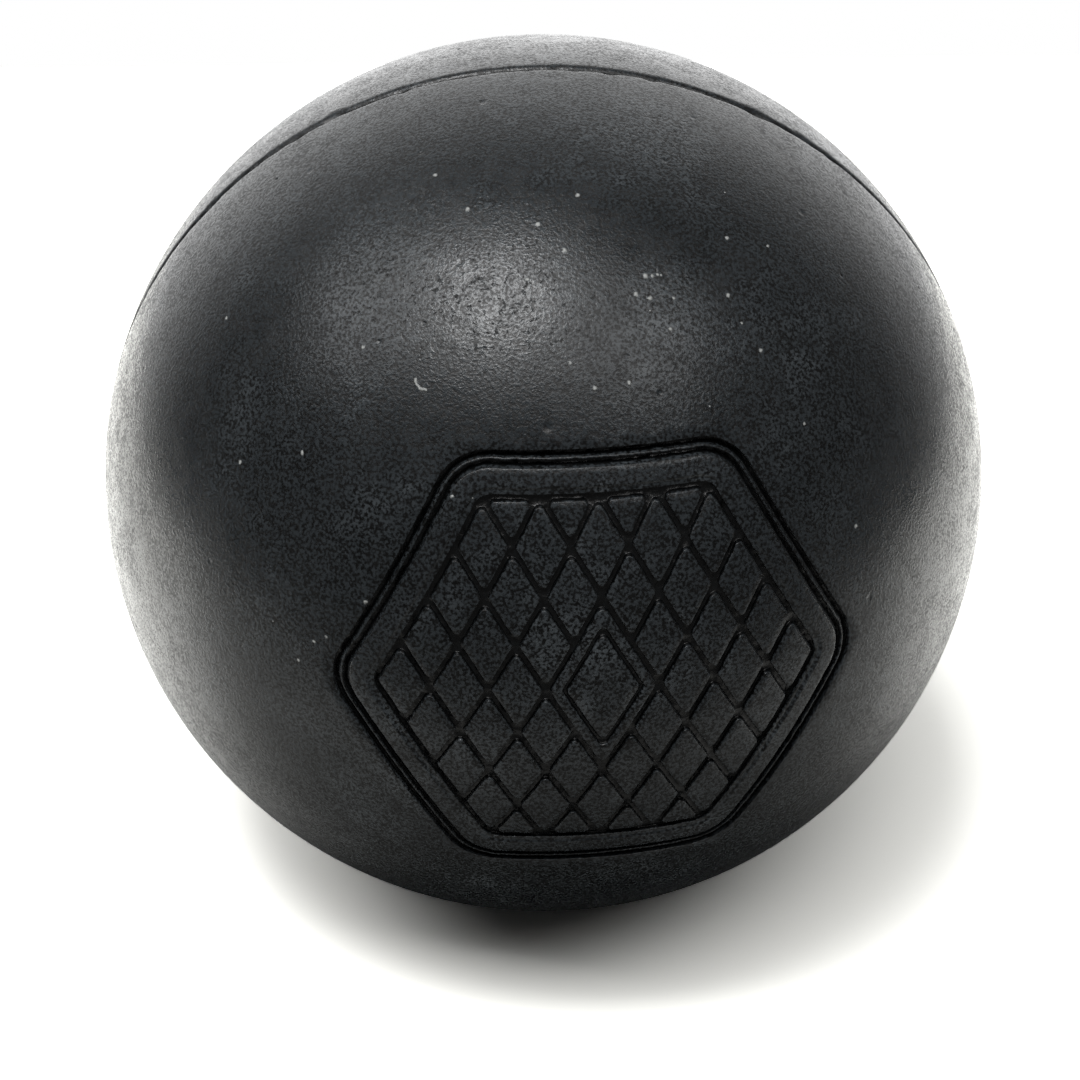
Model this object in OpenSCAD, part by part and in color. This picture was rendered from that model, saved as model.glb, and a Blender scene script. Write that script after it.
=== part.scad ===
/* [Ball] */
// Diameter of the ball over its rubber
ball_d = 64; // [50:0.5:80]
// Radius that rounds the rim of each half where it meets the parting line
rim_r = 0.5; // [0.3:0.05:0.9]

/* [Flash] */
// Thickness of the rubber flash left standing in the parting line
flash_t = 0.14; // [0.12:0.02:0.3]
// Thickness of the flash at its trimmed edge
flash_edge_t = 0.08; // [0.04:0.02:0.12]
// How far the trimmed flash stands up from the foot of the rims' rounding
flash_stand = 0.2; // [0.06:0.02:0.28]
// How far the flash runs in between the two halves
flash_root = 2.2; // [0.8:0.1:4]

/* [Front panel] */
// Distance between neighbouring knots of the net, along a side of the panel
net_pitch = 3.6; // [2.4:0.1:4.2]
// Meshes along the top and the bottom of the panel
meshes_along = 4; // [2:2:6]
// Meshes up each slanting side of the panel
meshes_up = 4; // [2:2:4]
// Width of the grooves that draw the net
net_groove_w = 0.36; // [0.2:0.02:0.6]
// Radius of the corners of the net's outline
panel_corner_r = 1.4; // [0.6:0.1:3]
// How far the sunken field runs past the net on all sides
field_margin = 0.4; // [0.2:0.05:1]
// Depth of the sunken field below the ball's surface
field_depth = 0.16; // [0.04:0.02:0.24]
// Depth of every groove below the ball's surface
groove_depth = 0.5; // [0.3:0.02:0.8]

/* [Border of the panel] */
// Plain band between the sunken field and the border
band_w = 1.2; // [0.7:0.1:2]
// Width of each of the border's two grooves
border_groove_w = 0.36; // [0.2:0.02:0.6]
// Width of the ridge between the border's two grooves
border_ridge_w = 0.18; // [0.1:0.02:0.4]

/* [Lozenge in the panel's middle] */
// Meshes that the plain lozenge takes up along each of its sides
lozenge_meshes = 2; // [2:2:4]
// Width of the plain frame between the lozenge's edge and its inner line
lozenge_frame_w = 0.85; // [0.5:0.05:1]
// Width of the lozenge's inner line
lozenge_line_w = 0.26; // [0.2:0.02:0.4]

/* [Panel's place] */
// Turn of the panel to the right of the front pole, in degrees
panel_turn = 5; // [-10:1:10]
// Lift of the panel above the front pole, in degrees
panel_lift = 6; // [-10:1:10]

/* [Hidden] */

$fn = 144;
// How far every cut runs past what it cuts
overrun = 0.5;
ball_r = ball_d / 2;

// The rim's rounding touches the sphere from inside and ends on the parting plane
rim_x = sqrt(pow(ball_r - rim_r, 2) - pow(rim_r, 2));

// The flash stands in a seat that is cut half into each rim
flash_in_r = rim_x - flash_root;
flash_out_r = rim_x + flash_stand;

// Net of lozenges, each with its sides at 60 degrees to the panel's base
mesh_angle = 60;
row_h = net_pitch * sin(mesh_angle);
net_half_h = meshes_up * row_h;
net_half_w = (meshes_along + meshes_up) / 2 * net_pitch;
top_half_w = meshes_along / 2 * net_pitch;
corner_facets = 4;
border_in = field_margin + band_w;

// Outline of the six-sided panel, moved outwards by a distance, its corners rounded in short facets
module panel_outline(grow) {
    knot_x = net_half_w - panel_corner_r / sin(mesh_angle);
    knot_top_x = top_half_w - panel_corner_r * tan(mesh_angle / 2);
    knot_y = net_half_h - panel_corner_r;
    knots = [
        [knot_x, 0], [knot_top_x, knot_y], [-knot_top_x, knot_y],
        [-knot_x, 0], [-knot_top_x, -knot_y], [knot_top_x, -knot_y]
    ];
    polygon([
        for (i = [0 : len(knots) - 1])
            for (facet = [0 : corner_facets])
                let (facing = mesh_angle * (i - 1 / 2 + facet / corner_facets))
                    knots[i] + (panel_corner_r + grow) * [cos(facing), sin(facing)]
    ]);
}

// A line round the panel, from one distance outside the net's field to the next
module panel_line(start, width) {
    difference() {
        panel_outline(start + width);
        panel_outline(start);
    }
}

// A lozenge that takes up so many meshes a side, with its edge drawn in by a distance
module lozenge(meshes, inset) {
    half_w = meshes * net_pitch / 2 - inset / sin(mesh_angle);
    half_h = half_w * tan(mesh_angle);
    polygon([[half_w, 0], [0, half_h], [-half_w, 0], [0, -half_h]]);
}

// Whether the plain lozenge takes the place of the mesh at a point
function in_lozenge(x, y) =
    abs(x) / (lozenge_meshes * net_pitch / 2) + abs(y) / (lozenge_meshes * row_h) < 1;

// Every mesh of the net as a small lozenge, less half a groove all round
module meshes() {
    for (row = [-meshes_up : meshes_up]) {
        count = meshes_along + meshes_up - abs(row);
        y = row * row_h;
        for (i = [0 : count - 1]) {
            x = (i - (count - 1) / 2) * net_pitch;
            if (!in_lozenge(x, y))
                translate([x, y])
                    lozenge(1, net_groove_w / 2);
        }
    }
}

// What stands up between the grooves of the net: its meshes and the plain lozenge
module net_islands() {
    intersection() {
        meshes();
        panel_outline(-net_groove_w);
    }
    lozenge(lozenge_meshes, net_groove_w / 2);
}

// The panel's grooves seen square on: border, net and the line in the lozenge
module panel_grooves() {
    panel_line(border_in, border_groove_w);
    panel_line(border_in + border_groove_w + border_ridge_w, border_groove_w);
    difference() {
        panel_outline(0);
        net_islands();
    }
    difference() {
        lozenge(lozenge_meshes, lozenge_frame_w);
        lozenge(lozenge_meshes, lozenge_frame_w + lozenge_line_w);
    }
}

// A flat outline as a cutter that goes down to an even depth below the ball's surface
module cutter_to(depth) {
    difference() {
        linear_extrude(ball_r + overrun)
            children();
        sphere(r = ball_r - depth);
    }
}

// All that the panel takes out of the ball, with the panel's middle at its place
module panel_cutter() {
    rotate([0, 0, panel_turn])
        rotate([90 - panel_lift, 0, 0]) {
            cutter_to(field_depth)
                panel_outline(field_margin);
            cutter_to(groove_depth)
                panel_grooves();
        }
}

// What rounds the rim away, and the flash's seat under it, as one turned section
module rim_section() {
    reach_r = ball_r + overrun;
    difference() {
        polygon([
            [rim_x, -overrun],
            [rim_x, rim_r],
            [reach_r * rim_x / (ball_r - rim_r), reach_r * rim_r / (ball_r - rim_r)],
            [reach_r, -overrun]
        ]);
        translate([rim_x, rim_r])
            circle(r = rim_r);
    }
    translate([flash_in_r, -overrun])
        square([flash_root + overrun, overrun + flash_t / 2]);
}

// One moulded half, with its flat face on the parting plane and its pole up
module half_ball() {
    difference() {
        intersection() {
            sphere(r = ball_r);
            translate([-ball_r - overrun, -ball_r - overrun, 0])
                cube([ball_d + 2 * overrun, ball_d + 2 * overrun, ball_r + overrun]);
        }
        rotate_extrude()
            rim_section();
    }
}

// The half that faces forwards and carries the panel
module front_half() {
    color("#2b2d30")
        difference() {
            rotate([90, 0, 0])
                half_ball();
            panel_cutter();
        }
}

// The plain half behind the parting plane
module rear_half() {
    color("#2e3033")
        rotate([-90, 0, 0])
            half_ball();
}

// The thin web of rubber that squeezes out between the mould's halves
module seam_flash() {
    color("#1d1e20")
        rotate([90, 0, 0])
            rotate_extrude()
                polygon([
                    [flash_in_r, -flash_t / 2],
                    [rim_x, -flash_t / 2],
                    [flash_out_r, -flash_edge_t / 2],
                    [flash_out_r, flash_edge_t / 2],
                    [rim_x, flash_t / 2],
                    [flash_in_r, flash_t / 2]
                ]);
}

front_half();
rear_half();
seam_flash();
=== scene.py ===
"""A solid rubber lacrosse ball: two moulded halves, the flash in their parting line and a net panel."""
import math
import random
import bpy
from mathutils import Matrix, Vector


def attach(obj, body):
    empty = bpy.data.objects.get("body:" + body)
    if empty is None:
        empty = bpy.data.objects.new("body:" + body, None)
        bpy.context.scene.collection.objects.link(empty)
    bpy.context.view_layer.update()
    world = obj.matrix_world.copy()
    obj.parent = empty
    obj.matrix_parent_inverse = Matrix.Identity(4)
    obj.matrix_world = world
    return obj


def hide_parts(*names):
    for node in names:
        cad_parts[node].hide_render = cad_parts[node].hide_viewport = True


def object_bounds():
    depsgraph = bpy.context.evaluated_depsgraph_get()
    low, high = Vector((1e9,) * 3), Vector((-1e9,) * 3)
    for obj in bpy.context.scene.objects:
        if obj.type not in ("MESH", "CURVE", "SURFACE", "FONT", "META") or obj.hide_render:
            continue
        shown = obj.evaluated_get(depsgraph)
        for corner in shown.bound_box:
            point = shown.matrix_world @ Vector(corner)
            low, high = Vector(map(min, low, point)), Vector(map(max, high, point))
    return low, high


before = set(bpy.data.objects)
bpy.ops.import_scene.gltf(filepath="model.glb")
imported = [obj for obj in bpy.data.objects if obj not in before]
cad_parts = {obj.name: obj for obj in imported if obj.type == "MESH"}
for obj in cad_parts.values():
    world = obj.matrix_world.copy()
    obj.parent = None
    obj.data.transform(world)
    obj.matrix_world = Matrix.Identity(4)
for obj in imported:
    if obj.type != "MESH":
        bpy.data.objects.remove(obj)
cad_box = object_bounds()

from types import SimpleNamespace

import bpy
import numpy as np
from mathutils import Matrix, Vector, noise
from mathutils.geometry import delaunay_2d_cdt

# Sizes, in millimetres, as in the part's source; the rear pole, which nothing cuts, gives the ball's radius
MM = 0.001
BALL_R = cad_box[1].y / MM
RIM_R = 0.5
FLASH_T = 0.14
FLASH_EDGE_T = 0.08
FLASH_STAND = 0.2
FLASH_ROOT = 2.2
NET_PITCH = 3.6
MESHES_ALONG = 4
MESHES_UP = 4
NET_GROOVE_W = 0.36
PANEL_CORNER_R = 1.4
FIELD_MARGIN = 0.4
FIELD_DEPTH = 0.16
GROOVE_DEPTH = 0.5
BAND_W = 1.2
BORDER_GROOVE_W = 0.36
BORDER_RIDGE_W = 0.18
LOZENGE_MESHES = 2
LOZENGE_FRAME_W = 0.85
LOZENGE_LINE_W = 0.26
PANEL_TURN = 5
PANEL_LIFT = 6
MESH_ANGLE = 60

# What follows from them
RIM_X = math.sqrt((BALL_R - RIM_R) ** 2 - RIM_R ** 2)
FLASH_IN_R = RIM_X - FLASH_ROOT
FLASH_OUT_R = RIM_X + FLASH_STAND
ROW_H = NET_PITCH * math.sin(math.radians(MESH_ANGLE))
BORDER_IN = FIELD_MARGIN + BAND_W
RIDGE_IN = BORDER_IN + BORDER_GROOVE_W
RIDGE_OUT = RIDGE_IN + BORDER_RIDGE_W
BORDER_OUT = RIDGE_OUT + BORDER_GROOVE_W

# How finely the surface is drawn, in millimetres, in degrees of an arc and in counts of points or lines
LINE_STEP = 0.2
COARSE_STEP = 0.4
DOME_STEP = 0.68
RING_SPACING = 0.42
ARC_STEP = 16
ARC_PIECES = 3
RIM_POINTS = 1080
RIM_LINES = 10
FLASH_POINTS = 1440
WALL_LINES = 7
RIM_ANGLES = [2 * math.pi * i / RIM_POINTS for i in range(RIM_POINTS)]

# Differences that count as none: between two sides, between two points of the map, and from rounding
SAME_SIDE = 1e-6
SAME_POINT = 1e-7
ROUNDING = 1e-9

# How a groove's wall bends: how far its rounding reaches into the high side and into the groove
SHOULDER_W = 0.1
FOOT_W = 0.09
SOFT = dict(shoulder=SHOULDER_W, foot=FOOT_W)
RIDGED = dict(shoulder=0.06, foot=FOOT_W)
STEEP = dict(shoulder=0.07, foot=0.05)
NARROW = dict(shoulder=0.08, foot=0.07, lines=5)

# Heights over the ball's surface
CROWN = 0.018
FIELD_AT = -FIELD_DEPTH
GROOVE_AT = -GROOVE_DEPTH
CROWN_AT = CROWN - FIELD_DEPTH
RIDGE_AT = -0.1
LOZENGE_LINE_AT = -GROOVE_DEPTH * 0.85

# The meshes' corners, the slope into the field, and the lines of points along the band, as shares of it
MESH_CORNER_R = 0.3
MESH_RING_CORNER_R = 0.02
SLOPE_HALF_W = 0.18
BAND_SHARES = (0.35, 0.65)

# The lozenge's corners, the line of points along its frame, and the rings of points inside its line
LOZENGE_CORNER_R = 0.6
OUTER_CORNER_R = 0.35
INNER_CORNER_R = 0.25
INNER_GROW = 0.1
FRAME_LINE_OUT = (LOZENGE_FRAME_W - NET_GROOVE_W / 2) / 2 - 0.02
LOZENGE_RINGS = (0.55, 1.0)
LOZENGE_RING_CORNER_R = 0.1

# Smooth noise by which the moulding strays from the drawing: its height, its waves a unit and its start
UNEVEN = ((0.022, 2.1, (3.1, 0.4, 7.7)), (0.006, 14.0, (1.3, 5.2, 2.9)))
# How far the panel's lines waver, across it and up it
WEAR = 0.035
WEAR_WAVES = 1.7
WEAR_ACROSS_START = (0.0, 0.0, 4.0)
WEAR_UP_START = (9.0, 0.0, 0.0)
# How much deeper or shallower they are beaded, as shares of their depth, each with its waves a millimetre
BEADS = ((0.16, 2.6), (0.08, 6.0))
BEADS_START = 2.5

# Small dents left by the mould and by play: how many, how far apart and off what, and their sizes
SEED = 7
PITS = 60
PIT_OFF_SEAM = 3.5
PIT_OFF_PANEL = 1.2
PITS_APART = 1.8
PIT_RADII = (0.16, 0.42)
PIT_DEPTHS = (0.025, 0.07)
# The rings of points round a dent: the share of its radius, and how many points
PIT_RINGS = ((0.0, 1), (0.35, 7), (0.65, 11), (0.85, 13), (1.0, 15), (1.25, 17))
PIT_REACH = PIT_RINGS[-1][0]

# The skin's outermost ring, off the parting plane, and how far the spread points stay off each finer part
SKIRT = 1.5
OFF_SKIRT = 0.35
OFF_PANEL = 0.35
OFF_PIT = 0.2
# The rings between the skirt and the rim, and those on the flat face, as shares of the way
SKIRT_SHARES = (0.35, 0.7)
FACE_SHARES = (0.6, 0.2)


def unit(degrees):
    """The unit vector at an angle in the panel's plane."""
    return np.array([math.cos(math.radians(degrees)), math.sin(math.radians(degrees))])


def smooth(t):
    """0 to 1 with flat ends."""
    t = min(max(t, 0.0), 1.0)
    return t * t * t * (t * (6 * t - 15) + 10)


def wobble(spot, waves, start=(0.0, 0.0, 0.0)):
    """Smooth noise at a spot, so many waves a unit, from a start in its endless field."""
    return noise.noise(spot * waves + Vector(start))


def panel_sides():
    """The six sides of the net's outline: the angle each faces and its distance from the centre."""
    slant = (MESHES_ALONG + MESHES_UP) / 2 * NET_PITCH * math.cos(math.radians(MESH_ANGLE / 2))
    level = MESHES_UP * ROW_H
    return [(MESH_ANGLE * (i + 0.5), level if i % 3 == 1 else slant) for i in range(6)]


def lozenge_sides(centre, meshes, inset):
    """The four sides of a lozenge of so many meshes a side, about a point of the panel."""
    reach = meshes * NET_PITCH / 2 * math.cos(math.radians(MESH_ANGLE / 2)) - inset
    facing = [MESH_ANGLE / 2, 180 - MESH_ANGLE / 2, 180 + MESH_ANGLE / 2, 360 - MESH_ANGLE / 2]
    return [(a, reach + float(np.dot(unit(a), centre))) for a in facing]


def moved_in(sides, inset):
    """The same sides, each nearer to the centre by a distance."""
    return [(a, d - inset) for a, d in sides]


def corner(side_a, side_b):
    """Where two sides meet."""
    rows = np.array([unit(side_a[0]), unit(side_b[0])])
    return np.linalg.solve(rows, np.array([side_a[1], side_b[1]]))


def clipped(sides, limits):
    """The sides of the convex shape inside both lists of sides, in order of angle, with none idle."""
    merged = []
    for side in sorted(sides + limits, key=lambda s: s[0] % 360):
        if merged and abs(merged[-1][0] - side[0]) < SAME_SIDE:
            merged[-1] = (side[0], min(side[1], merged[-1][1]))
        else:
            merged.append(side)
    changed = True
    while changed:
        changed = False
        for i in range(len(merged)):
            before, here, after = merged[i - 1], merged[i], merged[(i + 1) % len(merged)]
            if (after[0] - before[0]) % 360 >= 180:
                continue
            if float(np.dot(unit(here[0]), corner(before, after))) <= here[1] + SAME_SIDE:
                merged.pop(i)
                changed = True
                break
    return merged


def ring(sides, corner_r, grow, step=LINE_STEP):
    """Points along a convex outline with rounded corners, moved outwards by a distance."""
    knots = []
    for i, side in enumerate(sides):
        a, b = sides[i - 1], side
        knots.append(corner((a[0], a[1] - corner_r), (b[0], b[1] - corner_r)))
    points = []
    r = corner_r + grow
    for i, side in enumerate(sides):
        start = sides[i - 1][0]
        turn = (side[0] - start) % 360
        bends = max(ARC_PIECES, math.ceil(turn / ARC_STEP), math.ceil(math.radians(turn) * r / step))
        arc = [knots[i] + r * unit(start + turn * k / bends) for k in range(bends + 1)]
        points += arc
        end = knots[(i + 1) % len(sides)] + r * unit(side[0])
        pieces = max(1, round(float(np.linalg.norm(end - arc[-1])) / step))
        points += [arc[-1] + (end - arc[-1]) * k / pieces for k in range(1, pieces)]
    return points


class Sheet:
    """Points of one half's skin on a flat map about its pole, each with its place in space."""

    def __init__(self, pole):
        self.pole = Vector(pole)
        self.flat = []
        self.space = []
        self.edges = []

    def add(self, direction, place):
        """One point of the skin, by its direction from the ball's centre and its place."""
        away = math.acos(min(max(direction.dot(self.pole), -1.0), 1.0))
        side = Vector((direction.x, direction.z))
        side = side.normalized() if side.length > ROUNDING else Vector((1.0, 0.0))
        self.flat.append(side * (away * BALL_R))
        self.space.append(place)

    def close(self, first):
        """Ties the points from the first one to the last into a closed line."""
        last = len(self.flat) - 1
        self.edges += [(i, i + 1) for i in range(first, last)] + [(last, first)]

    def triangles(self):
        """The triangles between the points, as triples of their numbers."""
        out = delaunay_2d_cdt(self.flat, self.edges, [], 0, SAME_POINT, True)
        came_from = [ids[0] if ids else -1 for ids in out[3]]
        faces = []
        for face in out[2]:
            ids = [came_from[i] for i in face]
            if min(ids) >= 0:
                faces.append(ids)
        return faces


def out_of_round(direction):
    """The slight waviness of a moulded ball, never above its true surface."""
    return -sum(height * (0.5 + 0.5 * wobble(direction, waves, start)) for height, waves, start in UNEVEN)


def at_height(direction, height=0.0):
    """The point of the skin in a direction, at a height over it."""
    return direction * (BALL_R + height + out_of_round(direction))


# The panel's own axes: across it, up it and out of it
TURN = math.radians(PANEL_TURN)
LIFT = math.radians(PANEL_LIFT)
PANEL_OUT = Vector((math.sin(TURN) * math.cos(LIFT), -math.cos(TURN) * math.cos(LIFT), math.sin(LIFT)))
PANEL_ACROSS = Vector((math.cos(TURN), math.sin(TURN), 0.0))
PANEL_UP = PANEL_ACROSS.cross(PANEL_OUT)


def on_panel(sheet, point, height, wear=0.0):
    """Adds a point of the panel's plane, carried straight out to the ball and down by a height."""
    u, v = float(point[0]), float(point[1])
    spot = Vector((u, v, 0.0))
    if wear:
        u += wear * wobble(spot, WEAR_WAVES, WEAR_ACROSS_START)
        v += wear * wobble(spot, WEAR_WAVES, WEAR_UP_START)
    across = u * u + v * v
    flat = PANEL_ACROSS * u + PANEL_UP * v
    direction = (flat + PANEL_OUT * math.sqrt(BALL_R ** 2 - across)).normalized()
    r = BALL_R + height + out_of_round(direction)
    sheet.add(direction, flat + PANEL_OUT * math.sqrt(r ** 2 - across))


def beads(point):
    """How much shallower or deeper the cut is at a place, as a share: moulded lines are a little beaded."""
    spot = Vector((float(point[0]), float(point[1]), BEADS_START))
    return 1.0 + sum(share * wobble(spot, waves) for share, waves in BEADS)


def line(sheet, sides, corner_r, grow, height, bead=True, step=LINE_STEP):
    """One closed line of the panel, at a height."""
    first = len(sheet.flat)
    for point in ring(sides, corner_r, grow, step):
        on_panel(sheet, point, height * (beads(point) if bead and height else 1.0), WEAR)
    sheet.close(first)


def wall(sheet, sides, corner_r, edge, outwards, high, low, shoulder, foot, lines=WALL_LINES):
    """The rounded wall along a line: outwards is 1 where the high side lies outside it, or -1."""
    for k in range(lines):
        t = k / (lines - 1)
        away = shoulder - t * (shoulder + foot)
        line(sheet, sides, corner_r, edge + outwards * away, high + (low - high) * smooth(t))


def island(sheet, sides, centre):
    """A mesh that stands up from the net's grooves, with a slight crown."""
    wall(sheet, sides, MESH_CORNER_R, 0.0, -1, FIELD_AT, GROOVE_AT, **STEEP)
    reach = min(s[1] - float(np.dot(unit(s[0]), centre)) for s in sides)
    room = reach - SHOULDER_W
    rings = max(1, int(room / RING_SPACING))
    for k in range(1, rings + 1):
        share = k / (rings + 1)
        rise = CROWN * (1 - (1 - share) ** 2)
        shrunk = moved_in(sides, SHOULDER_W + share * room)
        for point in ring(shrunk, MESH_RING_CORNER_R, 0.0, COARSE_STEP):
            on_panel(sheet, point, rise + FIELD_AT, WEAR)
    on_panel(sheet, centre, CROWN_AT)


def in_lozenge(x, y):
    """Whether the plain lozenge takes the place of the mesh at a point."""
    return abs(x) / (LOZENGE_MESHES * NET_PITCH / 2) + abs(y) / (LOZENGE_MESHES * ROW_H) < 1 - ROUNDING


def net(sheet):
    """All the meshes of the net, those along its top and bottom cut in half."""
    limits = moved_in(panel_sides(), NET_GROOVE_W)
    for row in range(-MESHES_UP, MESHES_UP + 1):
        count = MESHES_ALONG + MESHES_UP - abs(row)
        for i in range(count):
            x, y = (i - (count - 1) / 2) * NET_PITCH, row * ROW_H
            if in_lozenge(x, y):
                continue
            sides = clipped(lozenge_sides((x, y), 1, NET_GROOVE_W / 2), limits)
            corners = [corner(sides[k - 1], sides[k]) for k in range(len(sides))]
            island(sheet, sides, sum(corners) / len(corners))


def middle_lozenge(sheet):
    """The plain lozenge in the middle of the net, with its inner line."""
    sides = lozenge_sides((0, 0), LOZENGE_MESHES, 0)
    outer = moved_in(sides, LOZENGE_FRAME_W)
    inner = moved_in(outer, LOZENGE_LINE_W + INNER_GROW)
    wall(sheet, sides, LOZENGE_CORNER_R, -NET_GROOVE_W / 2, -1, FIELD_AT, GROOVE_AT, **STEEP)
    wall(sheet, outer, OUTER_CORNER_R, 0.0, 1, FIELD_AT, LOZENGE_LINE_AT, **NARROW)
    wall(sheet, inner, INNER_CORNER_R, INNER_GROW, -1, FIELD_AT, LOZENGE_LINE_AT, **NARROW)
    line(sheet, outer, OUTER_CORNER_R, FRAME_LINE_OUT, FIELD_AT, False, COARSE_STEP)
    for inset in LOZENGE_RINGS:
        shrunk = moved_in(inner, inset)
        line(sheet, shrunk, LOZENGE_RING_CORNER_R, 0.0, CROWN_AT, False, COARSE_STEP)
    on_panel(sheet, (0.0, 0.0), CROWN_AT)


def panel(sheet):
    """The whole debossed panel: border, band, sunken field, net and lozenge."""
    sides = panel_sides()
    r = PANEL_CORNER_R
    wall(sheet, sides, r, BORDER_OUT, 1, 0.0, GROOVE_AT, **SOFT)
    wall(sheet, sides, r, RIDGE_OUT, -1, RIDGE_AT, GROOVE_AT, **RIDGED)
    wall(sheet, sides, r, RIDGE_IN, 1, RIDGE_AT, GROOVE_AT, **RIDGED)
    wall(sheet, sides, r, BORDER_IN, -1, 0.0, GROOVE_AT, **SOFT)
    for share in BAND_SHARES:
        line(sheet, sides, r, FIELD_MARGIN + share * BAND_W, 0.0, False, COARSE_STEP)
    for k in range(WALL_LINES):
        t = k / (WALL_LINES - 1)
        line(sheet, sides, r, FIELD_MARGIN + SLOPE_HALF_W * (1 - 2 * t), FIELD_AT * smooth(t), False)
    wall(sheet, sides, r, 0.0, 1, FIELD_AT, GROOVE_AT, **STEEP)
    net(sheet)
    middle_lozenge(sheet)


def outside_panel(direction):
    """How far a direction lies outside the panel's border, in the panel's plane."""
    p = direction * BALL_R
    if p.dot(PANEL_OUT) <= 0:
        return BALL_R
    point = np.array([p.dot(PANEL_ACROSS), p.dot(PANEL_UP)])
    return max(float(np.dot(unit(a), point)) - d for a, d in panel_sides()) - BORDER_OUT


def evenly_spread(step):
    """Directions spread evenly over a whole sphere, about a step apart, along a spiral."""
    room_for_each = step * step * math.sin(math.radians(60))
    count = int(4 * math.pi * BALL_R ** 2 / room_for_each)
    golden = math.pi * (3 - math.sqrt(5))
    for i in range(count):
        y = 1 - 2 * (i + 0.5) / count
        r = math.sqrt(1 - y * y)
        yield Vector((r * math.cos(golden * i), y, r * math.sin(golden * i)))


def pits(rng, sign):
    """The dents of one half: direction, radius and depth of each."""
    made = []
    while len(made) < PITS:
        d = Vector((rng.gauss(0, 1), rng.gauss(0, 1), rng.gauss(0, 1))).normalized()
        d.y = abs(d.y) * sign
        if abs(d.y) * BALL_R < PIT_OFF_SEAM or (sign < 0 and outside_panel(d) < PIT_OFF_PANEL):
            continue
        if all((d - other[0]).length * BALL_R > PITS_APART for other in made):
            made.append((d, rng.uniform(*PIT_RADII), rng.uniform(*PIT_DEPTHS)))
    return made


def dents(sheet, marks):
    """Adds the rings of points round each dent."""
    for d, r, depth in marks:
        a = d.orthogonal().normalized()
        b = d.cross(a)
        for share, count in PIT_RINGS:
            for k in range(count):
                turn = 2 * math.pi * (k + share) / count
                out = (a * math.cos(turn) + b * math.sin(turn)) * (share * r / BALL_R)
                direction = (d + out).normalized()
                sheet.add(direction, at_height(direction, -depth * (1 - smooth(share))))


def level_direction(angle, y):
    """The direction of the ball's point at an angle round the seam and a distance from its plane."""
    x = math.sqrt(BALL_R ** 2 - y ** 2)
    return Vector((x * math.cos(angle), y, x * math.sin(angle))) / BALL_R


def skin(sign, with_panel):
    """One half's skin outside its rim, as a sheet that starts with the ring along the skirt."""
    sheet = Sheet((0, sign, 0))
    for a in RIM_ANGLES:
        d = level_direction(a, sign * SKIRT)
        sheet.add(d, at_height(d))
    sheet.close(0)
    if with_panel:
        panel(sheet)
    marks = pits(random.Random(SEED + sign), sign)
    dents(sheet, marks)
    for d in evenly_spread(DOME_STEP):
        if sign * d.y * BALL_R < SKIRT + OFF_SKIRT:
            continue
        if with_panel and outside_panel(d) < OFF_PANEL:
            continue
        if any((d - m[0]).length * BALL_R < m[1] * PIT_REACH + OFF_PIT for m in marks):
            continue
        sheet.add(d, at_height(d))
    return sheet


# The parting line's ragged trimming, as shares of the rim's radius, each with its waves a unit and start
RIM_MEAN = 1.20
RIM_UNEVEN = ((0.22, 36.0, (0.0, 0.0, 0.0)), (0.14, 5.0, (4.0, 0.0, 0.0)))
RIM_SIDE_SHIFT = 0.2
# Where it tore, the groove is wider: by how much, the waves of the tears, when they open, and their start
RIM_TORN = 1.6
RIM_TORN_WAVES = 19.0
RIM_TORN_OVER = 0.16
RIM_TORN_START = 6.0


def rim_radius(angle, side):
    """The rim's rounding at an angle round the seam, for the half on a side."""
    spot = Vector((math.cos(angle), math.sin(angle), RIM_SIDE_SHIFT * side))
    uneven = sum(share * wobble(spot, waves, start) for share, waves, start in RIM_UNEVEN)
    torn = max(0.0, wobble(spot, RIM_TORN_WAVES, (0.0, RIM_TORN_START, side)) - RIM_TORN_OVER)
    return RIM_R * (RIM_MEAN + uneven + RIM_TORN * torn)


def rim_point(share, r, angle, sign):
    """A point of the rim: 0 where its rounding leaves the sphere, 1 where it meets the flash."""
    x_mid = math.sqrt((BALL_R - r) ** 2 - r ** 2)
    start = math.atan2(r, x_mid)
    end = -math.asin(1 - FLASH_T / 2 / r)
    turn = start + (end - start) * share
    x, y = x_mid + r * math.cos(turn), r + r * math.sin(turn)
    return Vector((x * math.cos(angle), sign * y, x * math.sin(angle)))


def rim_rows(sign):
    """The rows of points from the skirt over the rounded rim and the flash's seat to the flat face."""
    radii = [rim_radius(a, sign) for a in RIM_ANGLES]
    rows = []
    for share in SKIRT_SHARES:
        row = []
        for a, r in zip(RIM_ANGLES, radii):
            top = abs(rim_point(0.0, r, a, sign).y)
            row.append(at_height(level_direction(a, sign * (SKIRT + (top - SKIRT) * share))))
        rows.append(row)
    for k in range(RIM_LINES):
        row = []
        for a, r in zip(RIM_ANGLES, radii):
            p = rim_point(k / (RIM_LINES - 1), r, a, sign)
            row.append(p * (1 + out_of_round(p / BALL_R) / BALL_R))
        rows.append(row)
    inside = [(FLASH_IN_R, FLASH_T / 2), (FLASH_IN_R, 0.0)]
    inside += [(FLASH_IN_R * share, 0.0) for share in FACE_SHARES]
    for x, y in inside:
        rows.append([Vector((x * math.cos(a), sign * y, x * math.sin(a))) for a in RIM_ANGLES])
    return rows


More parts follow.
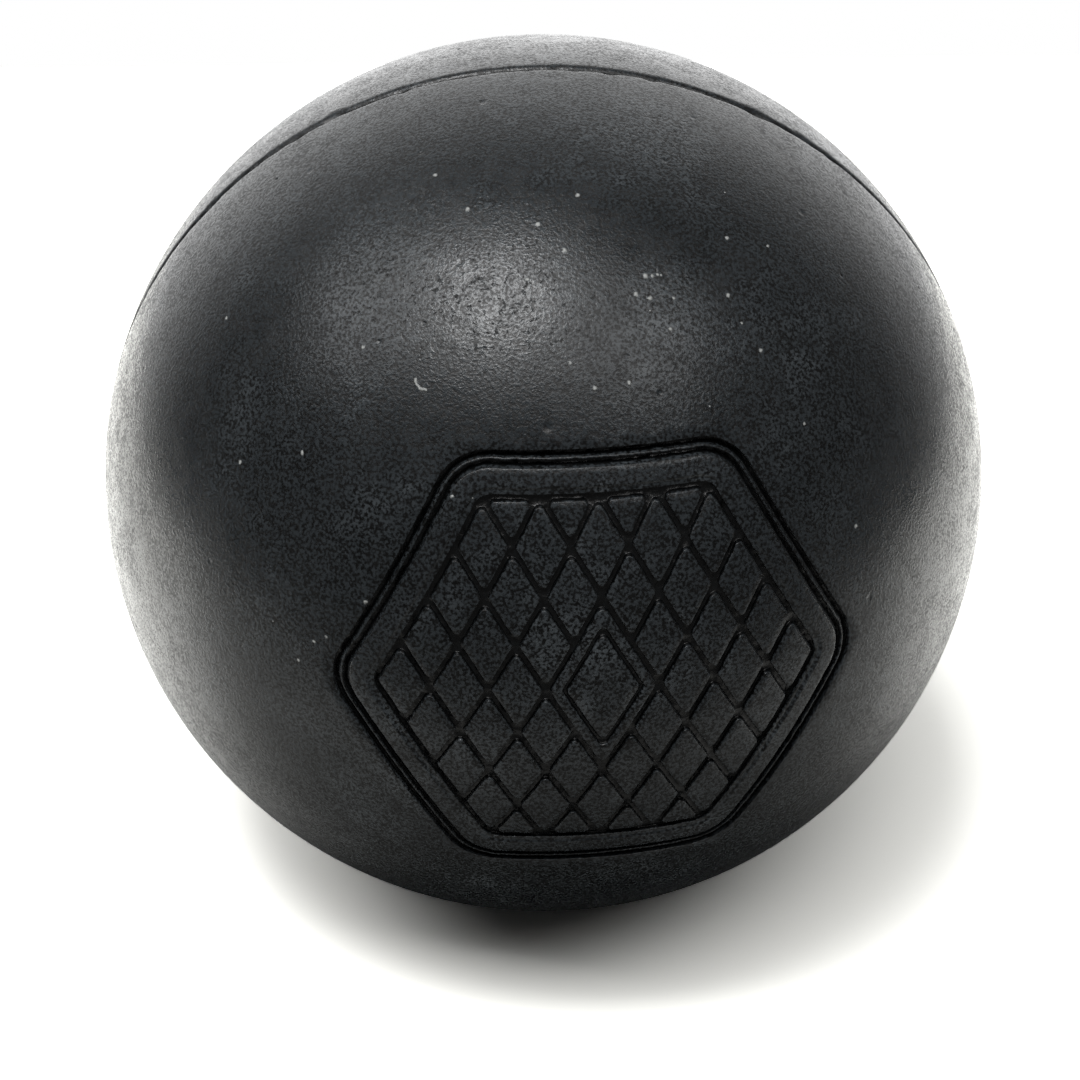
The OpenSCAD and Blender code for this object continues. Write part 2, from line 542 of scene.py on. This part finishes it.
def half_mesh(name, sign, with_panel):
    """One closed half: its skin, its rounded rim, the flash's seat and its flat face."""
    sheet = skin(sign, with_panel)
    faces = sheet.triangles()
    points = list(sheet.space)
    rings = [list(range(RIM_POINTS))]
    for row in rim_rows(sign):
        rings.append(list(range(len(points), len(points) + RIM_POINTS)))
        points += row
    for upper, lower in zip(rings, rings[1:]):
        for i in range(RIM_POINTS):
            j = (i + 1) % RIM_POINTS
            faces.append((upper[i], upper[j], lower[j], lower[i]))
    points.append(Vector((0, 0, 0)))
    hub = len(points) - 1
    last = rings[-1]
    faces += [(last[i], last[(i + 1) % RIM_POINTS], hub) for i in range(RIM_POINTS)]
    return mesh_object(name, points, faces)


def mesh_object(name, points, faces):
    """A smooth-shaded object from points in millimetres, with its faces turned outwards."""
    mesh = bpy.data.meshes.new(name)
    mesh.from_pydata([p * MM for p in points], [], faces)
    made = bpy.data.objects.new(name, mesh)
    bpy.context.collection.objects.link(made)
    bpy.context.view_layer.objects.active = made
    made.select_set(True)
    bpy.ops.object.mode_set(mode="EDIT")
    bpy.ops.mesh.select_all(action="SELECT")
    bpy.ops.mesh.normals_make_consistent(inside=False)
    bpy.ops.object.mode_set(mode="OBJECT")
    made.select_set(False)
    mesh.shade_smooth()
    return made


# The flash's ragged edge: how far it strays, each with its waves a unit, and how far back it is cut
RAGS = ((0.05, 40.0), (0.05, 11.0))
RAGS_BACK = 0.05
# Its tears, as the rim's, and how far it leans to one side or the other
FLASH_TORN = 0.5
FLASH_TORN_WAVES = 17.0
FLASH_TORN_OVER = 0.3
LEAN = 0.05
LEAN_WAVES = 15.0
LEAN_START = (5.0, 0.0, 0.0)
# Where the flash lies in the noise, so that it doesn't follow the rims
FLASH_START = 1.7


def flash_section(angle):
    """The flash's section at an angle round the seam, as distances from the centre and from its plane."""
    spot = Vector((math.cos(angle), math.sin(angle), FLASH_START))
    ragged = sum(depth * wobble(spot, waves) for depth, waves in RAGS) - RAGS_BACK
    torn = max(0.0, wobble(spot, FLASH_TORN_WAVES) - FLASH_TORN_OVER) * FLASH_TORN
    tip = FLASH_OUT_R + ragged - torn
    lean = LEAN * wobble(spot, LEAN_WAVES, LEAN_START)
    return [
        (FLASH_IN_R, -FLASH_T / 2), (RIM_X, -FLASH_T / 2),
        (tip, lean - FLASH_EDGE_T / 2), (tip, lean + FLASH_EDGE_T / 2),
        (RIM_X, FLASH_T / 2), (FLASH_IN_R, FLASH_T / 2),
    ]


def flash_mesh(name):
    """The trimmed flash: a thin ring whose outer edge is ragged."""
    points, faces = [], []
    for i in range(FLASH_POINTS):
        a = 2 * math.pi * i / FLASH_POINTS
        points += [Vector((x * math.cos(a), y, x * math.sin(a))) for x, y in flash_section(a)]
    n = len(points) // FLASH_POINTS
    for i in range(FLASH_POINTS):
        for k in range(n):
            here, there = i * n, (i + 1) % FLASH_POINTS * n
            faces.append((here + k, there + k, there + (k + 1) % n, here + (k + 1) % n))
    return mesh_object(name, points, faces)


# The photograph's view, in pixels of its 1080 by 1080 frame
PHOTO_SIDE = 1080
BALL_RIGHT_OF_MIDDLE = 3.3
BALL_ABOVE_MIDDLE = 65.2
FOCAL_PIXELS = 2483
CAMERA_AZIMUTH = math.radians(-1.9)
CAMERA_ELEVATION = math.radians(31.3)
CAMERA_AWAY = 5.75 * BALL_R
SENSOR_MM = 36
NEAREST_SEEN_M = 0.01

TO_CAMERA = Vector((
    math.sin(CAMERA_AZIMUTH) * math.cos(CAMERA_ELEVATION),
    -math.cos(CAMERA_AZIMUTH) * math.cos(CAMERA_ELEVATION),
    math.sin(CAMERA_ELEVATION),
))
CAMERA_RIGHT = Vector((math.cos(CAMERA_AZIMUTH), math.sin(CAMERA_AZIMUTH), 0))
CAMERA_UP = TO_CAMERA.cross(CAMERA_RIGHT)
CAMERA_AT = TO_CAMERA * CAMERA_AWAY
AIM = (CAMERA_RIGHT * -BALL_RIGHT_OF_MIDDLE - CAMERA_UP * BALL_ABOVE_MIDDLE) * (CAMERA_AWAY / FOCAL_PIXELS)
VIEW_TURN = (AIM - CAMERA_AT).to_track_quat("-Z", "Y")


def camera():
    """The camera at the photograph's viewing angle."""
    data = bpy.data.cameras.new("camera")
    data.sensor_width = SENSOR_MM
    data.lens = FOCAL_PIXELS / PHOTO_SIDE * SENSOR_MM
    data.clip_start = NEAREST_SEEN_M
    made = bpy.data.objects.new("camera", data)
    bpy.context.collection.objects.link(made)
    made.location = CAMERA_AT * MM
    made.rotation_euler = VIEW_TURN.to_euler()
    bpy.context.scene.camera = made


def at_pixel(x, y):
    """The point of the ball, in millimetres, that the photograph shows at a pixel."""
    ray = VIEW_TURN @ Vector((x - PHOTO_SIDE / 2, PHOTO_SIDE / 2 - y, -FOCAL_PIXELS)).normalized()
    along = -ray.dot(CAMERA_AT)
    reach = math.sqrt(BALL_R ** 2 - (CAMERA_AT + ray * along).length_squared)
    return CAMERA_AT + ray * (along - reach)


class Nodes:
    """Short ways to make and join shader nodes."""

    def __init__(self, tree):
        self.tree = tree
        tree.nodes.clear()

    def new(self, kind, **settings):
        node = self.tree.nodes.new(kind)
        for key, value in settings.items():
            setattr(node, key, value)
        return node

    def join(self, source, target):
        self.tree.links.new(source, target)

    def put(self, socket, value):
        """Gives a socket a value, or what another socket holds."""
        if isinstance(value, bpy.types.NodeSocket):
            self.join(value, socket)
        else:
            socket.default_value = value

    def math(self, operation, a, b=0.0, clamp=False):
        node = self.new("ShaderNodeMath", operation=operation, use_clamp=clamp)
        self.put(node.inputs[0], a)
        self.put(node.inputs[1], b)
        return node.outputs[0]

    def total(self, *terms):
        """The sum of several values."""
        result = terms[0]
        for term in terms[1:]:
            result = self.math("ADD", result, term)
        return result

    def product(self, *terms):
        """Several values times each other."""
        result = terms[0]
        for term in terms[1:]:
            result = self.math("MULTIPLY", result, term)
        return result

    def ramp(self, value, low, high, out_low=0.0, out_high=1.0):
        """A smooth ramp from one value at low to another at high."""
        node = self.new("ShaderNodeMapRange", interpolation_type="SMOOTHSTEP")
        for socket, v in zip(node.inputs, (value, low, high, out_low, out_high)):
            self.put(socket, v)
        return node.outputs[0]

    def noise(self, place, scale, detail=2.0, rough=0.5, distort=0.0, output="Fac"):
        node = self.new("ShaderNodeTexNoise")
        self.put(node.inputs["Vector"], place)
        node.inputs["Scale"].default_value = scale
        node.inputs["Detail"].default_value = detail
        node.inputs["Roughness"].default_value = rough
        node.inputs["Distortion"].default_value = distort
        return node.outputs[output]

    def mix(self, share, a, b):
        node = self.new("ShaderNodeMix", data_type="RGBA")
        self.put(node.inputs["Factor"], share)
        self.put(node.inputs["A"], a)
        self.put(node.inputs["B"], b)
        return node.outputs["Result"]

    def vector(self, operation, a, *others):
        """A vector node's result, from vectors or sockets."""
        node = self.new("ShaderNodeVectorMath", operation=operation)
        for socket, value in zip(node.inputs, (a,) + others):
            self.put(socket, value)
        return node

    def scaled(self, vector, share):
        """A vector or colour times a number."""
        node = self.vector("SCALE", vector)
        self.put(node.inputs["Scale"], share)
        return node.outputs[0]

    def millimetres(self):
        """The place on the object in millimetres."""
        return self.scaled(self.new("ShaderNodeTexCoord").outputs["Object"], 1 / MM)

    def axis(self, vector, name):
        """One axis of a vector."""
        node = self.new("ShaderNodeSeparateXYZ")
        self.join(vector, node.inputs[0])
        return node.outputs[name]

    def distance(self, place, point):
        """How far a place is from a point."""
        return self.vector("DISTANCE", place, point).outputs["Value"]

    def near(self, place, point, full, none):
        """1 within one distance of a point, falling to 0 at another."""
        return self.ramp(self.distance(place, point), none, full)

    def specks(self, place, scale, radius, chosen):
        """Round specks scattered in a share of the cells of a pattern."""
        node = self.new("ShaderNodeTexVoronoi", feature="F1")
        self.put(node.inputs["Vector"], place)
        node.inputs["Scale"].default_value = scale
        split = self.new("ShaderNodeSeparateColor")
        self.join(node.outputs["Color"], split.inputs[0])
        largest = radius * scale
        size = self.math("MULTIPLY", split.outputs[1], largest)
        inside = self.math("SUBTRACT", size, node.outputs["Distance"])
        dot = self.ramp(inside, 0.0, largest / 2)
        picked = self.math("LESS_THAN", split.outputs[0], chosen)
        return self.math("MULTIPLY", dot, picked)


# Specks of dust by the photograph's pixels, with each one's radius in millimetres
DUST = [
    (565, 250, 0.15), (728, 295, 0.14), (761, 350, 0.14), (460, 664, 0.13), (302, 453, 0.12),
    (646, 276, 0.15), (636, 294, 0.13), (650, 298, 0.13), (240, 462, 0.12), (365, 602, 0.11),
    (856, 526, 0.12), (595, 388, 0.12), (314, 642, 0.12), (727, 238, 0.12), (671, 329, 0.11),
    (578, 195, 0.13), (435, 175, 0.13), (298, 660, 0.10), (468, 209, 0.14), (527, 279, 0.12),
    (629, 383, 0.10), (363, 347, 0.10), (570, 363, 0.11), (326, 637, 0.10), (538, 224, 0.11),
    (452, 497, 0.09), (226, 318, 0.11), (805, 424, 0.09), (627, 505, 0.10), (652, 276, 0.10),
    (657, 274, 0.09), (661, 275, 0.08), (768, 246, 0.09), (742, 323, 0.08), (674, 298, 0.09),
]
# A short fibre of lint, as a row of points
LINT = [
    (415, 379), (415.5, 380.5), (416, 382), (417, 383.5), (418, 385), (419, 386.5), (420, 388),
    (421.5, 388.5), (423, 389), (424.5, 389.5), (426, 390),
]
LINT_R = 0.09
# A nest of small pits, in the same way as the dust; the colour is darkened in them as painted shade
NEST = [(644, 286, 0.17), (655, 285, 0.17), (659, 298, 0.15), (645, 297, 0.14), (654, 303, 0.15)]
# Where the rubber is cloudy from handling and paler as a painted highlight round the lit spot: pixels, and
# how far the cloud reaches in millimetres
CLOUDY_AND_PAINTED_HIGHLIGHT = [(500, 285, 9.0), (400, 255, 8.0), (655, 135, 5.0), (668, 305, 4.5)]
# Dust elsewhere: cells a millimetre, the radius of the largest speck, and the share of cells with one
SPECKS = ((0.30, 0.15, 0.30), (0.55, 0.08, 0.45))

# The rubber's patterns of noise: waves a millimetre, detail, roughness and distortion
CLOUDS = (0.11, 5.0, 0.62, 0.4)
SMUDGES = (0.30, 3.0, 0.6, 0.3)
MOTTLE = (0.75, 4.0, 0.6)
GRAIN = (5.0, 2.0, 0.5)
FINE = (9.0, 1.0, 0.5)
PITTING = (2.6, 2.0, 0.6, 0.6)
FLAKING = (2.3, 2.0, 0.6, 0.9)
STRAY = (3.0, 1.0, 0.5)

# How a speck fades out, as shares of its radius where it is full and where it ends
CLOUDY_AND_HIGHLIGHT_FADE = (0.2, 1.0)
NEST_FADE = (0.3, 1.3)
DUST_FADE = (0.3, 1.5)
# How far a speck's edge strays, in millimetres
DUST_STRAY = 0.25

# Where the skin starts to count as cut and where it is fully so: depths below the ball's surface and
# distances from the parting plane, both blurred by the grain. The colour is darkened there as painted shade
CUT_FROM = 0.05
CUT_FULL = 0.26
GRAIN_IN_DEPTH = 0.25
SEAM_FROM = 0.36
SEAM_FULL = 0.16
SEAM_BY_GRAIN = (0.35, 0.65, -0.08, 0.08)

# Ramps, each from one value of a pattern to another: how they set bloom, holes, flakes and the tone, which
# holes and cuts darken as painted shade
BLOOM_BY_SMUDGES = (0.38, 0.66, 0.25, 1.2)
BLOOM_BY_CLOUDS = (0.38, 0.68)
BLOOM_BY_MOTTLE = (0.30, 0.70, 0.35, 1.0)
BLOOM_AND_PAINTED_HIGHLIGHT = 0.9
HOLES_BY_PITTING = (0.40, 0.32)
HOLES_EVERYWHERE = 0.08
FLAKES_BY_FLAKING = (0.58, 0.68)
FLAKES_EVERYWHERE = 0.04
FLAKES_SHOW = 0.5
SHADE_BY_GRAIN = (0.38, 0.62, 0.0, 2.1)
PAINTED_SHADE_BY_HOLES = (0.0, 1.0, 1.0, 0.3)
PAINTED_SHADE_BY_CUT = (0.0, 1.0, 1.0, 0.12)

# How rough the rubber is, and how far each pattern lifts or sinks it
ROUGH_BY_GRAIN = (0.38, 0.62, 0.40, 0.18)
ROUGH_BY_MOTTLE = (0.32, 0.68, 0.05, -0.06)
ROUGH_BY_SMUDGES = (0.35, 0.65, 0.04, -0.04)
ROUGH_IN_HOLES = 0.3
ROUGH_WITH_DUST = 0.3
RELIEF_MM = 0.026
FINE_RELIEF = 0.30
MOTTLE_RELIEF = 0.8
HOLE_RELIEF = 0.7

# Colours: bare rubber and rubber under full bloom, for the ball and the flash, then flakes and dust; round
# the lit spot the pale rubber and the flakes also make a painted highlight
BALL_DARK = (0.0116, 0.0136, 0.0152, 1.0)
BALL_PALE = (0.031, 0.035, 0.038, 1.0)
FLASH_DARK = (0.005, 0.0055, 0.006, 1.0)
FLASH_PALE = (0.014, 0.015, 0.016, 1.0)
FLAKE_COLOUR = (0.10, 0.105, 0.11, 1.0)
DUST_COLOUR = (0.40, 0.41, 0.40, 1.0)
# The rubber's gloss and its faint sheen
RUBBER_IOR = 1.5
RUBBER_GLOSS = (0.72, 0.72, 0.72, 1.0)
SHEEN = 0.05
SHEEN_ROUGH = 0.3
SHEEN_COLOUR = (0.94, 0.97, 1.0, 1.0)


def nearest(n, share, place, spots, fade):
    """The larger of a share and the nearness to any of the spots, each a pixel with a radius."""
    for x, y, radius in spots:
        near = n.near(place, at_pixel(x, y), fade[0] * radius, fade[1] * radius)
        share = n.math("MAXIMUM", share, near)
    return share


def cut_share(n, place, grain):
    """1 inside the grooves and the parting line, 0 on the open skin; inside, the colour is darkened as
    painted shade.
    """
    from_centre = n.vector("LENGTH", place).outputs["Value"]
    depth = n.total(from_centre, n.product(grain, GRAIN_IN_DEPTH))
    grooves = n.ramp(depth, BALL_R - CUT_FROM, BALL_R - CUT_FULL)
    off_seam = n.total(n.math("ABSOLUTE", n.axis(place, "Y")), n.ramp(grain, *SEAM_BY_GRAIN))
    return n.math("MAXIMUM", grooves, n.ramp(off_seam, SEAM_FROM, SEAM_FULL))


def hole_share(n, place, handled_and_painted_highlight):
    """1 in the small holes of the skin, which lie thickest in the cloudy zones round the lit spot."""
    everywhere = n.math("ADD", handled_and_painted_highlight, HOLES_EVERYWHERE, clamp=True)
    holes = n.product(n.ramp(n.noise(place, *PITTING), *HOLES_BY_PITTING), everywhere)
    return nearest(n, holes, place, NEST, NEST_FADE)


def dust_share(n, place, cut):
    """1 on the specks of dust and the lint, which lie on the open skin alone."""
    stray = n.noise(place, *STRAY, output="Color")
    spread = (DUST_STRAY,) * 3
    middle = (-DUST_STRAY / 2,) * 3
    stray = n.vector("MULTIPLY_ADD", stray, spread, middle).outputs[0]
    loose = n.vector("ADD", place, stray).outputs[0]
    first, second = [n.specks(place, *kind) for kind in SPECKS]
    dust = n.math("ADD", first, second, clamp=True)
    dust = nearest(n, dust, loose, DUST + [(x, y, LINT_R) for x, y in LINT], DUST_FADE)
    return n.product(dust, n.math("SUBTRACT", 1.0, cut))


def patterns(n):
    """The patterns by which the rubber's colour, relief and gloss vary."""
    place = n.millimetres()
    grain = n.noise(place, *GRAIN)
    handled_and_painted_highlight = nearest(n, 0.0, place, CLOUDY_AND_PAINTED_HIGHLIGHT, CLOUDY_AND_HIGHLIGHT_FADE)
    cut = cut_share(n, place, grain)
    return SimpleNamespace(
        place=place, grain=grain, handled_and_painted_highlight=handled_and_painted_highlight, cut=cut,
        mottle=n.noise(place, *MOTTLE), smudges=n.noise(place, *SMUDGES),
        holes=hole_share(n, place, handled_and_painted_highlight), dust=dust_share(n, place, cut),
    )


def rubber_colour(n, p, dark, pale):
    """Dark rubber, paler where it has bloomed and round the lit spot, partly from handling and partly as a
    painted highlight, with painted shade darkening holes and cuts, and flakes and dust on it.
    """
    clouds = n.ramp(n.noise(p.place, *CLOUDS), *BLOOM_BY_CLOUDS)
    bloom_and_painted_highlight = n.product(n.ramp(p.smudges, *BLOOM_BY_SMUDGES), clouds)
    # Painted highlight: paler round the lit spot, partly real bloom from handling
    bloom_and_painted_highlight = n.math("ADD", bloom_and_painted_highlight, n.product(p.handled_and_painted_highlight, BLOOM_AND_PAINTED_HIGHLIGHT), clamp=True)
    bloom_and_painted_highlight = n.product(bloom_and_painted_highlight, n.ramp(p.mottle, *BLOOM_BY_MOTTLE))
    # Painted shade: the colour is darkened in the holes, and below in the grooves and the parting line
    tone_and_painted_shade = n.product(n.ramp(p.grain, *SHADE_BY_GRAIN), n.ramp(p.holes, *PAINTED_SHADE_BY_HOLES))
    tone_and_painted_shade = n.product(tone_and_painted_shade, n.ramp(p.cut, *PAINTED_SHADE_BY_CUT))
    # The flakes lie thickest in the same zones, so they add to the painted highlight there
    flaked = n.math("ADD", p.handled_and_painted_highlight, FLAKES_EVERYWHERE, clamp=True)
    flakes = n.product(n.ramp(n.noise(p.place, *FLAKING), *FLAKES_BY_FLAKING), flaked, FLAKES_SHOW)
    toned = n.mix(flakes, n.scaled(n.mix(bloom_and_painted_highlight, dark, pale), tone_and_painted_shade), FLAKE_COLOUR)
    return n.mix(p.dust, toned, DUST_COLOUR)


def rubber_relief(n, p):
    """The fine relief that no mesh is fine enough for."""
    fine = n.product(n.noise(p.place, *FINE), FINE_RELIEF)
    relief = n.total(p.grain, fine, n.product(p.mottle, MOTTLE_RELIEF))
    relief = n.math("SUBTRACT", relief, n.product(p.holes, HOLE_RELIEF))
    bump = n.new("ShaderNodeBump")
    bump.inputs["Strength"].default_value = 1.0
    bump.inputs["Distance"].default_value = RELIEF_MM * MM
    n.join(n.total(relief, p.dust), bump.inputs["Height"])
    return bump.outputs[0]


def rubber_roughness(n, p):
    """How dull the rubber is: more so in holes and under dust."""
    rough = n.total(n.ramp(p.grain, *ROUGH_BY_GRAIN), n.ramp(p.mottle, *ROUGH_BY_MOTTLE))
    rough = n.total(rough, n.ramp(p.smudges, *ROUGH_BY_SMUDGES), n.product(p.holes, ROUGH_IN_HOLES))
    return n.math("ADD", rough, n.product(p.dust, ROUGH_WITH_DUST), clamp=True)


def rubber(name, dark, pale):
    """Matte moulded rubber: fine grain, pale clouds where it has bloomed, pits and a little dust, with a
    painted highlight and painted shade in its colour.
    """
    material = bpy.data.materials.new(name)
    material.use_nodes = True
    n = Nodes(material.node_tree)
    p = patterns(n)
    shader = n.new("ShaderNodeBsdfPrincipled")
    n.join(rubber_colour(n, p, dark, pale), shader.inputs["Base Color"])
    n.join(rubber_roughness(n, p), shader.inputs["Roughness"])
    n.join(rubber_relief(n, p), shader.inputs["Normal"])
    shader.inputs["IOR"].default_value = RUBBER_IOR
    shader.inputs["Specular Tint"].default_value = RUBBER_GLOSS
    shader.inputs["Sheen Weight"].default_value = SHEEN
    shader.inputs["Sheen Roughness"].default_value = SHEEN_ROUGH
    shader.inputs["Sheen Tint"].default_value = SHEEN_COLOUR
    out = n.new("ShaderNodeOutputMaterial")
    n.join(shader.outputs[0], out.inputs["Surface"])
    return material


# The stage. The photograph's table is overexposed and its room is bright behind the ball alone, so the
# floor and the room each have one strength for the camera, one in reflections and one as light on the ball
WHITE = (1.0, 1.0, 1.0, 1.0)
WARM_WHITE = (1.0, 0.995, 0.955)
# The floor: its reach in ball radii, the camera's white from near to far behind, and its plain white
FLOOR_REACH = 5
SHOWN_BY_Y = (1, 5, 2.85, 5.0)
PLAIN_FLOOR = 0.80
# The floor in reflections: a painted shadow round this spot under the ball and painted shade towards the
# front; spots and distances in ball radii
PAINTED_SHADOW_SPOT = (0.08, -0.35, -1)
MIRRORED_BY_GAP = (0.35, 2.3, 0.012, 2.4)
MIRRORED_BY_Y = ((-1.0, 0.2, 0.35, 1.2), (-2.8, -1.4, 0.2, 1.0))
# The room in reflections, by the share of a direction that points back, and its plain light
ROOM_BY_Y = (0.30, 0.95, 0.14, 1.6)
ROOM_FAR_BACK = (0.93, 0.99, 1.0, 1.25)
PLAIN_ROOM = 0.003
# The lamps: place and size in metres, watts, and the turn of the width from X in degrees
STRIP = dict(place=(-0.14, -0.235, 0.78), size=(1.76, 0.54), watts=6.9, turn=-18)
STRIP_CORE = dict(place=(-0.15, -0.19, 0.74), size=(0.28, 0.28), watts=2.4, turn=0)


def background(n, shown, mirrored, plain):
    """Mixes three shaders: as the camera sees it, as gloss and glass show it, and as it lights the ball."""
    path = n.new("ShaderNodeLightPath")
    in_gloss = n.math("MAXIMUM", path.outputs["Is Glossy Ray"], path.outputs["Is Transmission Ray"])
    first = n.new("ShaderNodeMixShader")
    n.join(in_gloss, first.inputs[0])
    n.join(plain.outputs[0], first.inputs[1])
    n.join(mirrored.outputs[0], first.inputs[2])
    second = n.new("ShaderNodeMixShader")
    n.join(path.outputs["Is Camera Ray"], second.inputs[0])
    n.join(first.outputs[0], second.inputs[1])
    n.join(shown.outputs[0], second.inputs[2])
    return second.outputs[0]


def paint(n, grey):
    """A matt and faintly warm grey or white, of one strength or one that a socket gives."""
    shader = n.new("ShaderNodeBsdfDiffuse")
    if isinstance(grey, float):
        shader.inputs["Color"].default_value = [grey * share for share in WARM_WHITE] + [1.0]
    else:
        n.join(n.scaled(WARM_WHITE, grey), shader.inputs["Color"])
    return shader


def glow(n, strength):
    """Light from all round, of one strength or one that a socket gives."""
    shader = n.new("ShaderNodeBackground")
    shader.inputs["Color"].default_value = WHITE
    n.put(shader.inputs["Strength"], strength)
    return shader


def in_radii(ramp):
    """A ramp's two distances in ball radii, given in millimetres, with what it goes from and to."""
    return (ramp[0] * BALL_R, ramp[1] * BALL_R) + ramp[2:]


def floor_white():
    """The table's material, which changes with the distance from the ball and towards the back: in
    reflections it holds a painted shadow round the ball and painted shade to the front.
    """
    material = bpy.data.materials.new("floor_white")
    material.use_nodes = True
    n = Nodes(material.node_tree)
    place = n.millimetres()
    back = n.axis(place, "Y")
    gap = n.distance(place, [share * BALL_R for share in PAINTED_SHADOW_SPOT])
    # Painted shadow: in reflections the floor darkens round the ball and towards the front
    mirrored = n.ramp(gap, *in_radii(MIRRORED_BY_GAP))
    mirrored = n.product(mirrored, *[n.ramp(back, *in_radii(ramp)) for ramp in MIRRORED_BY_Y])
    shown = n.ramp(back, *in_radii(SHOWN_BY_Y))
    mixed = background(n, paint(n, shown), paint(n, mirrored), paint(n, PLAIN_FLOOR))
    out = n.new("ShaderNodeOutputMaterial")
    n.join(mixed, out.inputs["Surface"])
    return material


def floor():
    """The pale table that the ball lies on."""
    size = FLOOR_REACH * BALL_R * MM
    low = -BALL_R * MM
    mesh = bpy.data.meshes.new("floor")
    corners = [(-size, -size, low), (size, -size, low), (size, size, low), (-size, size, low)]
    mesh.from_pydata(corners, [], [(0, 1, 2, 3)])
    made = bpy.data.objects.new("floor", mesh)
    bpy.context.collection.objects.link(made)
    mesh.materials.append(floor_white())


def surroundings():
    """A white room, bright behind the ball and dim on the camera's side."""
    world = bpy.data.worlds.new("room")
    bpy.context.scene.world = world
    world.use_nodes = True
    n = Nodes(world.node_tree)
    back = n.axis(n.new("ShaderNodeTexCoord").outputs["Generated"], "Y")
    mirrored = n.product(n.ramp(back, *ROOM_BY_Y), n.ramp(back, *ROOM_FAR_BACK))
    mixed = background(n, glow(n, 1.0), glow(n, mirrored), glow(n, PLAIN_ROOM))
    out = n.new("ShaderNodeOutputWorld")
    n.join(mixed, out.inputs["Surface"])


def softbox(name, place, size, watts, turn):
    """A lamp, so wide and so deep, that faces the ball, with its width turned from X by an angle."""
    lamp = bpy.data.lights.new(name, "AREA")
    lamp.shape = "RECTANGLE"
    lamp.size, lamp.size_y = size
    lamp.energy = watts
    made = bpy.data.objects.new(name, lamp)
    made.location = place
    back = Vector(place).normalized()
    across = Vector((math.cos(math.radians(turn)), math.sin(math.radians(turn)), 0.0))
    across = (across - back * across.dot(back)).normalized()
    made.rotation_euler = Matrix((across, back.cross(across), back)).transposed().to_euler()
    bpy.context.collection.objects.link(made)


def dressed(piece, node, material):
    """Gives a piece its material, hangs it on the root body and hides the part that it stands for."""
    piece.data.materials.append(material)
    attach(piece, "root")
    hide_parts(node)


bpy.context.scene.view_settings.view_transform = "Standard"
camera()
floor()
surroundings()
softbox("strip", **STRIP)
softbox("strip_core", **STRIP_CORE)

ball_rubber = rubber("ball_rubber", BALL_DARK, BALL_PALE)
flash_rubber = rubber("flash_rubber", FLASH_DARK, FLASH_PALE)
dressed(half_mesh("front_half_skin", -1, True), "front_half", ball_rubber)
dressed(half_mesh("rear_half_skin", 1, False), "rear_half", ball_rubber)
dressed(flash_mesh("seam_flash_ring"), "seam_flash", flash_rubber)
